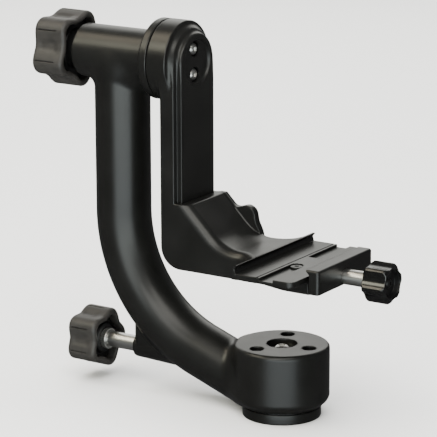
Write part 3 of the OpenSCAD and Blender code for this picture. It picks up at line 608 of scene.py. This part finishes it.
softKnobs = {
    "tilt": {"z": tiltZ, "inner": -140.0, "thick": 21.8, "radius": 23.5, "turn": 100, "wall": 4.2,
             "boss": 11.65, "bossTo": -138.7, "bore": 7.05, "boreTo": -157.6},
    "pan": {"z": lockZ, "inner": -123.2, "thick": 20.0, "radius": 18.6, "turn": 94, "wall": 4.2,
            "boss": 9.2, "bossTo": -126.0, "bore": 4.85, "boreTo": -139.05},
}
lobeCount, lobeShare, valleyShare, boreShare = 5, 0.32, 0.81, 0.36     # shares of a knob's radius
outerWall, cupDepth = 2.2, 5.0
slits = {"angles": (-24.5, 24.5, -96.0, 96.0), "half": 0.36, "depth": 0.9, "from": 5.4, "rim": 2.5}
gripEdges = {"outer": 2.6, "inner": 2.4, "cupFloor": 1.0, "cupMouth": 1.3}
hollow = {"depth": 0.7, "half": 3.4, "past": 0.8, "share": 0.27}


def lobed(u, v, radius, turn, blend):   # five round lobes about a round middle
    lobe, step = lobeShare * radius, 2 * math.pi / lobeCount
    aside = (np.arctan2(u, v) - math.radians(turn) + step / 2) % step - step / 2
    out = np.hypot(u, v)
    head = np.hypot(out * np.cos(aside) - (radius - lobe), out * np.sin(aside)) - lobe
    return roundMin(head, out - valleyShare * radius, blend), aside


def gripField(k):
    def field(x, y, z):
        w, up = k["inner"] - x, z - k["z"]
        around, aside = lobed(y, up, k["radius"], k["turn"], 3.0)
        body = roundMax(around, w - k["thick"], gripEdges["outer"])
        body = roundMax(body, -w, gripEdges["inner"])
        inner, _ = lobed(y, up, k["radius"] - k["wall"], k["turn"], 2.0)
        cup = roundMax(inner, w - k["thick"] + outerWall, gripEdges["cupFloor"])
        body = carve(body, cup, gripEdges["cupMouth"])
        # thin slits, their angles taken from the near valley, and a shallow hollow along each valley
        reach = slab(w, slits["from"], k["thick"] - slits["rim"])
        out, angle = np.hypot(y, up), np.arctan2(y, up)
        for away in slits["angles"]:
            turn = math.radians(k["turn"] + 180 + away)
            slit = np.abs(out * np.sin(angle - turn)) - slits["half"]
            slit = np.maximum(np.maximum(slit, -out * np.cos(angle - turn)), reach)
            body = carve(body, np.maximum(slit, -around - slits["depth"]), 0.15)
        arc = out * np.sin(np.abs(aside) - math.pi / lobeCount)
        span = (w - k["thick"] * 0.5 - hollow["past"]) / (k["thick"] * hollow["share"])
        body = body + hollow["depth"] * np.exp(-(arc / hollow["half"]) ** 4) / (1.0 + span ** 8)
        return carve(body, rod(y, up, w, 0.0, 40.0, boreShare * k["radius"] + 0.05, 0.1), 0.3)
    return field


def coreField(k):
    def field(x, y, z):
        w, up = k["inner"] - x, z - k["z"]
        inner, _ = lobed(y, up, k["radius"] - k["wall"] - 0.1, k["turn"], 2.0)
        plate = roundMax(inner, slab(w, cupDepth, k["thick"] - outerWall), 0.8)
        boss = rod(y, up, x, k["inner"] - cupDepth - 2.0, k["bossTo"], k["boss"], 1.0)
        body = roundMin(plate, boss, 1.2)
        return carve(body, rod(y, up, x, k["boreTo"], 0.0, k["bore"], 0.1), 0.3)
    return field


def buildSoftKnob(which):
    k = softKnobs[which]
    low = (k["inner"] - k["thick"], -k["radius"], k["z"] - k["radius"])
    high = (max(k["inner"], k["bossTo"]), k["radius"], k["z"] + k["radius"])
    for name, field, cell in (("Grip", gripField(k), 0.46), ("Core", coreField(k), 0.6)):
        node = f"{which}_knob_{name.lower()}"
        dress(skin(which + name, field, low, high, cell), node)
    print(which, "knob made")


# ---- clamp knob ----

clampKnob = {"in": 58.0, "out": 73.0, "radius": 11.8, "flutes": 6, "flute": 9.0, "fluteAxis": 18.4,
             "turn": 41.0, "edge": 1.4, "dish": 8.6, "dishDepth": 4.0, "bore": 3.05}


def clampKnobField(x, y, z):
    k = clampKnob
    up = z - clampZ
    out = np.hypot(y, up)
    bevel = (out - k["radius"] + k["edge"] + np.maximum(x - k["out"], k["in"] - x)) / math.sqrt(2)
    body = roundMax(roundMax(out - k["radius"], slab(x, k["in"], k["out"]), 0.2), bevel, 0.4)
    turn = np.arctan2(-y, up)
    step = 2 * math.pi / k["flutes"]
    turn = (turn - math.radians(k["turn"])) % step - step / 2
    flute = np.hypot(out * np.cos(turn) - k["fluteAxis"], out * np.sin(turn)) - k["flute"]
    body = carve(body, flute, 0.5)
    body = carve(body, rod(y, up, x, k["out"] - k["dishDepth"], 90.0, k["dish"], 0.4), 0.4)
    return carve(body, rod(y, up, x, 50.0, 90.0, k["bore"], 0.1), 0.2)


def buildClampKnob():
    dressSkin(clampKnobField, "clamp_knob", 0.4)
    print("clamp knob made")


# ---- turned pieces ----

def alongX(height):                     # profile axis along +X at this height
    return lambda along, u, v: (along, u, height + v)


def alongZ(along, u, v):                # profile axis along +Z
    return u, v, along


turnedPieces = {
    "pan_base": (alongZ, [
        (0, 0, 0), (0, 23.1, 0.5), (6, 23.1, 0.5), (6, 11.0, 0.3), (30.2, 11.0, 0.3), (30.2, 5.0, 0.2),
        (37.4, 5.0, 0.3), (37.4, 3.05, 0), (25.4, 3.05, 0), (25.4, 0, 0)]),
    "tripod_thread_insert": (alongZ, [(0, 4.0, 0.3), (0, 6.0, 0), (13, 6.0, 0), (13, 4.0, 0)]),
    "pan_retaining_washer": (alongZ, [
        (37.4, 3.05, 0.1), (37.4, 8.3, 0.2), (38.9, 8.3, 0.4), (38.9, 3.05, 0.2)]),
    "pan_lock_stud": (alongX(lockZ), [(-139, 0, 0), (-139, 4.8, 0.4), (-69.5, 4.8, 0.6), (-69.5, 0, 0)]),
    "pan_knob_cap": (alongX(lockZ), [(-143.2, 0, 0), (-143.2, 6.7, 0.5), (-141, 6.7, 0.1), (-141, 0, 0)]),
    "tilt_knob_cap": (alongX(tiltZ), [
        (-161.8, 0, 0), (-161.8, 8.46, 0.5), (-159.6, 8.46, 0.1), (-159.6, 0, 0)]),
    "clamp_screw": (alongX(clampZ), [
        (10.8, 0, 0), (10.8, 3, 0.4), (40.3, 3, 0), (40.3, 4.6, 0.2), (58, 4.6, 0.4), (58, 3, 0),
        (69, 3, 0.1), (69, 1.55, 0), (62, 1.55, 0), (62, 0, 0)]),
    "clamp_knob_washer": (alongX(clampZ), [
        (69, 1.55, 0), (69, 8.5, 0.2), (72.4, 8.5, 0.15), (72.4, 8.0, 0.15), (69.6, 7.8, 0.4),
        (69.6, 1.55, 0)]),
    "tilt_pressure_washer": (alongX(tiltZ), [
        (-138.6, 5.05, 0.2), (-138.6, 11.25, 0.4), (-137, 11.25, 0.3), (-137, 5.05, 0.1)]),
}


def buildTurned():
    for node, (place, profile) in turnedPieces.items():
        dress(turned(pieceName(node), profile, place), node)
    print("turned pieces made")


# ---- what repeats: screws, collar ridges and springs, by Geometry Nodes ----

def nodeTree(name, inputs):
    tree = bpy.data.node_groups.new(name, "GeometryNodeTree")
    for label, kind in inputs:
        tree.interface.new_socket(label, in_out="INPUT", socket_type=kind)
    tree.interface.new_socket("Geometry", in_out="OUTPUT", socket_type="NodeSocketGeometry")
    return tree, addNode(tree, "NodeGroupInput").outputs


def finishTree(tree, geometry):
    real = addNode(tree, "GeometryNodeRealizeInstances", links={0: geometry})
    given = tree.nodes["Group Input"].outputs
    painted = addNode(tree, "GeometryNodeSetMaterial",
                      links={"Geometry": real.outputs[0], "Material": given["Material"]})
    addNode(tree, "NodeGroupOutput", links={0: painted.outputs[0]})
    return tree


def grown(name, carrier, tree, settings):   # the tree's result as a plain mesh
    modifier = carrier.modifiers.new("grow", "NODES")
    modifier.node_group = tree
    for item in tree.interface.items_tree:
        if item.item_type == "SOCKET" and item.in_out == "INPUT" and item.name in settings:
            modifier[item.identifier] = settings[item.name]
    depsgraph = bpy.context.evaluated_depsgraph_get()
    mesh = bpy.data.meshes.new_from_object(carrier.evaluated_get(depsgraph))
    mesh.name = name
    bpy.data.objects.remove(carrier)
    return addObject(name, mesh)


def scatterTree():                      # one shape set on every point, turned with the point's number
    tree, given = nodeTree("scatter", [
        ("Geometry", "NodeSocketGeometry"), ("Shape", "NodeSocketObject"),
        ("Turn", "NodeSocketVector"), ("Material", "NodeSocketMaterial")])
    shape = addNode(tree, "GeometryNodeObjectInfo", links={"Object": given["Shape"]})
    index = addNode(tree, "GeometryNodeInputIndex")
    turn = addNode(tree, "ShaderNodeVectorMath", {"operation": "SCALE"},
                   {0: given["Turn"], 3: index.outputs[0]})
    placed = addNode(tree, "GeometryNodeInstanceOnPoints", links={
        "Points": given["Geometry"], "Instance": shape.outputs["Geometry"], "Rotation": turn.outputs[0]})
    return finishTree(tree, placed.outputs[0])


def ridgeTree():                        # ridges round a ring, each a short round bar
    tree, given = nodeTree("ridges", [
        ("Geometry", "NodeSocketGeometry"), ("Count", "NodeSocketInt"), ("Ring Radius", "NodeSocketFloat"),
        ("Ridge Radius", "NodeSocketFloat"), ("Length", "NodeSocketFloat"),
        ("Place", "NodeSocketVector"), ("Material", "NodeSocketMaterial")])
    ring = addNode(tree, "GeometryNodeMeshCircle",
                   links={"Vertices": given["Count"], "Radius": given["Ring Radius"]})
    bar = addNode(tree, "GeometryNodeMeshCylinder", {"Vertices": 8},
                  {"Radius": given["Ridge Radius"], "Depth": given["Length"]})
    placed = addNode(tree, "GeometryNodeInstanceOnPoints", links={
        "Points": ring.outputs[0], "Instance": bar.outputs[0]})
    real = addNode(tree, "GeometryNodeRealizeInstances", links={0: placed.outputs[0]})
    laid = addNode(tree, "GeometryNodeTransform", {"Rotation": (0, math.pi / 2, 0)},
                   {"Geometry": real.outputs[0], "Translation": given["Place"]})
    both = addNode(tree, "GeometryNodeJoinGeometry", links={0: laid.outputs[0]})
    tree.links.new(given["Geometry"], both.inputs[0])
    return finishTree(tree, both.outputs[0])


def springTree():                       # a coil of round wire on every point
    tree, given = nodeTree("springs", [
        ("Geometry", "NodeSocketGeometry"), ("Turns", "NodeSocketFloat"), ("Radius", "NodeSocketFloat"),
        ("Length", "NodeSocketFloat"), ("Wire Radius", "NodeSocketFloat"),
        ("Material", "NodeSocketMaterial")])
    coil = addNode(tree, "GeometryNodeCurveSpiral", {"Resolution": 20}, {
        "Rotations": given["Turns"], "Start Radius": given["Radius"], "End Radius": given["Radius"],
        "Height": given["Length"]})
    wire = addNode(tree, "GeometryNodeCurvePrimitiveCircle", {"Resolution": 10},
                   {"Radius": given["Wire Radius"]})
    body = addNode(tree, "GeometryNodeCurveToMesh", {"Fill Caps": True},
                   {"Curve": coil.outputs[0], "Profile Curve": wire.outputs[0]})
    placed = addNode(tree, "GeometryNodeInstanceOnPoints", {"Rotation": (0, math.pi / 2, 0)},
                     {"Points": given["Geometry"], "Instance": body.outputs[0]})
    return finishTree(tree, placed.outputs[0])


# A screw about +Z with its head's seat at 0: round or flat head, edge and hexagon socket.
def screwShape(name, head, height, crown, key, keyDepth, shank, length):
    def field(x, y, z):
        out = np.hypot(x, y)
        top = rod(x, y, z, 0.0, height, head, 0.35)
        if crown:
            top = roundMax(top, np.sqrt(out ** 2 + (z - height + crown) ** 2) - crown, 0.15)
        body = np.minimum(top, rod(x, y, z, -length, 0.3, shank, 0.3))
        socket = np.maximum(prism(x, y, key, 6), height - keyDepth - z)
        return carve(body, socket, 0.12)
    return skin(name, field, (-head, -head, -length), (head, head, height), 0.28)


# heads as: radius, height, radius of the round top or 0, socket, its depth, shank's radius and length
screwSets = {
    "swing_arm_screws": {"at": [(swingShape["seatFloor"], 0, tiltZ - swingShape["pitch"]),
                                (swingShape["seatFloor"], 0, tiltZ + swingShape["pitch"])],
                         "along": "x", "spin": 0.5, "head": (3.8, 3.3, 4.3, 1.35, 1.5, 2.0, 14.5)},
    "carrier_cap_screws": {"at": [(armShape["holePitch"] * math.cos(math.radians(t)),
                                   armShape["holePitch"] * math.sin(math.radians(t)),
                                   armShape["top"] - armShape["holeDepth"]) for t in capAngles],
                           "along": "z", "spin": 0.7, "head": (3.5, 4.0, 0, 1.5, 2.2, 2.0, 13.0)},
    "pan_retaining_screw": {"at": [(0, 0, 38.9)],
                            "along": "z", "spin": 0.0, "head": (5.5, 3.3, 6.2, 2.0, 2.0, 3.0, 12.5)},
    "clamp_stop_screw": {"at": [(swingShape["stopX"], swingShape["stopY"], swingShape["stopFloor"])],
                         "along": "z", "spin": 0.0, "head": (3.7, 1.6, 0, 1.15, 1.0, 2.0, 5.0)},
    "clamp_knob_screw": {"at": [(69.8, 0, clampZ)],
                         "along": "x", "spin": 0.0, "head": (3.0, 1.8, 3.6, 1.15, 1.1, 1.5, 7.0)},
}


def buildScrews():
    tree = scatterTree()
    for node, k in screwSets.items():
        shape = screwShape(node + "Shape", *k["head"])
        if k["along"] == "x":
            shape.data.transform(Matrix.Rotation(math.pi / 2, 4, "Y"))
        name = pieceName(node)
        carrier = meshPiece(name, np.array(k["at"]) * mm, [])
        turn = (k["spin"], 0, 0) if k["along"] == "x" else (0, 0, k["spin"])
        piece = grown(name, carrier, tree, {
            "Shape": shape, "Turn": turn, "Material": finishes[slotOf[node]]})
        bpy.data.objects.remove(shape)
        dress(piece, node)
    print("screws set")


def buildCollar():
    ring = turned("collarRing", [
        (-126, 4.85, 0.2), (-126, 6.0, 0.3), (-122.6, 6.0, 0.3), (-122.6, 4.85, 0.2)], alongX(lockZ))
    piece = grown("panKnobCollar", ring, ridgeTree(), {
        "Count": 28, "Ring Radius": 6.0 * mm, "Ridge Radius": 0.45 * mm, "Length": 3.0 * mm,
        "Place": (-0.124, 0, lockZ * mm), "Material": finishes["bright_steel"]})
    dress(piece, "pan_knob_collar")


def buildSprings():
    apart = swingShape["springApart"]
    carrier = meshPiece("jawSprings", np.array([(25.2, apart, clampZ), (25.2, -apart, clampZ)]) * mm, [])
    piece = grown("jawSprings", carrier, springTree(), {
        "Turns": 7.0, "Radius": 2.0 * mm, "Length": 10.3 * mm, "Wire Radius": 0.4 * mm,
        "Material": finishes["ground_steel"]})
    coat(piece, "jaw_springs")
    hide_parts("jaw_springs")
    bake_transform(piece)


buildArm()
buildSwing()
buildJaw()
buildSoftKnob("tilt")
buildSoftKnob("pan")
buildClampKnob()
buildTurned()
buildScrews()
buildCollar()
buildSprings()
for node, piece in frame["nodes"].items():      # every other CAD piece keeps its shape
    coat(piece, node)

# ---- camera, floor and light ----

viewFrom = {"azimuth": 32.88, "elevation": 14.42, "roll": -0.16, "lens": 205.95,
            "eye": (0.724291, -1.188087, 0.475439)}


def setCamera():
    back = towards(viewFrom["azimuth"], viewFrom["elevation"])
    az = math.radians(viewFrom["azimuth"])
    right = np.array((math.cos(az), math.sin(az), 0.0))
    up = np.cross(back, right)
    roll = math.radians(viewFrom["roll"])
    right, up = (right * math.cos(roll) + up * math.sin(roll),
                 up * math.cos(roll) - right * math.sin(roll))
    data = bpy.data.cameras.new("camera")
    data.lens, data.sensor_width = viewFrom["lens"], 36.0
    data.clip_start, data.clip_end = 0.05, 20.0
    camera = addObject("camera", data)
    placeAt(camera, right, up, back, viewFrom["eye"])
    bpy.context.scene.camera = camera


def plainSurface(name, colour, rough):
    return startMaterial(name, {
        "Base Color": linear(colour), "Roughness": rough, "Specular IOR Level": 0.2})[0]


def softLight(name, spot, aim, size, power, colour):
    data = bpy.data.lights.new(name, "AREA")
    data.shape, data.size, data.size_y = "RECTANGLE", size[0], size[1]
    data.energy, data.color = power, linear(colour)[:3]
    light = addObject(name, data)
    back = spot - aim
    back /= np.linalg.norm(back)
    right = np.cross((0, 0, 1.0), back)
    right = right / np.linalg.norm(right) if np.linalg.norm(right) > 1e-6 else np.array((1.0, 0, 0))
    placeAt(light, right, np.cross(back, right), back, spot)
    return light


# Bright softboxes are given by where they stand as seen from the object, in degrees.
softboxes = {
    "overhead": {"azimuth": 0, "elevation": 84, "away": 2.6, "size": (4.0, 4.0), "power": 300,
                 "tint": "#ffffff", "mirrored": False},
    "warmLeft": {"azimuth": -40, "elevation": 38, "away": 1.5, "size": (0.7, 0.42), "power": 5.6,
                 "tint": "#fffbe2"},
    "frontWide": {"azimuth": 30, "elevation": -2, "away": 1.75, "size": (2.5, 0.56), "power": 20,
                  "tint": "#eef7f3"},
    "frontLow": {"azimuth": 30, "elevation": -17, "away": 1.75, "size": (2.3, 0.4), "power": 7.5,
                 "tint": "#e6f1f6"},
    "backWall": {"azimuth": -147, "elevation": 28, "away": 1.6, "size": (1.7, 1.0), "power": 10.5,
                 "tint": "#fffff8"},
    "frontHigh": {"azimuth": 33, "elevation": 49, "away": 1.5, "size": (1.0, 0.7), "power": 9.0,
                  "tint": "#fdfbf2"},
    "frontMid": {"azimuth": 9, "elevation": 27, "away": 1.5, "size": (0.8, 0.5), "power": 5.5,
                 "tint": "#fbfbf4"},
    "warmHigh": {"azimuth": -66, "elevation": 54, "away": 1.5, "size": (0.5, 0.45), "power": 3.4,
                 "tint": "#fff2d8"},
}
stage = {"half": 6.0, "centre": (-0.04, 0.0, 0.11), "fill": 0.10}   # metres, and the even light


def setStage():
    half = stage["half"]
    points = [(-half, -half, 0), (half, -half, 0), (half, half, 0), (-half, half, 0)]
    floor = meshPiece("floor", points, [[0, 1, 2, 3]])
    floor.data.materials.append(plainSurface("paleFloor", "#f6f6f4", 0.9))
    floor.visible_glossy = False        # keeps the black finish deep, as over a dark table
    floor.visible_shadow = False
    world = bpy.data.worlds.new("studio")
    world.use_nodes = True
    world.node_tree.nodes["Background"].inputs[0].default_value = (1.0, 1.0, 1.0, 1.0)
    world.node_tree.nodes["Background"].inputs[1].default_value = stage["fill"]
    bpy.context.scene.world = world
    centre = np.array(stage["centre"])
    for name, k in softboxes.items():
        spot = centre + towards(k["azimuth"], k["elevation"]) * k["away"]
        light = softLight(name, spot, centre, k["size"], k["power"], k["tint"])
        light.visible_glossy = k.get("mirrored", True)


setCamera()
setStage()
print("stage set")
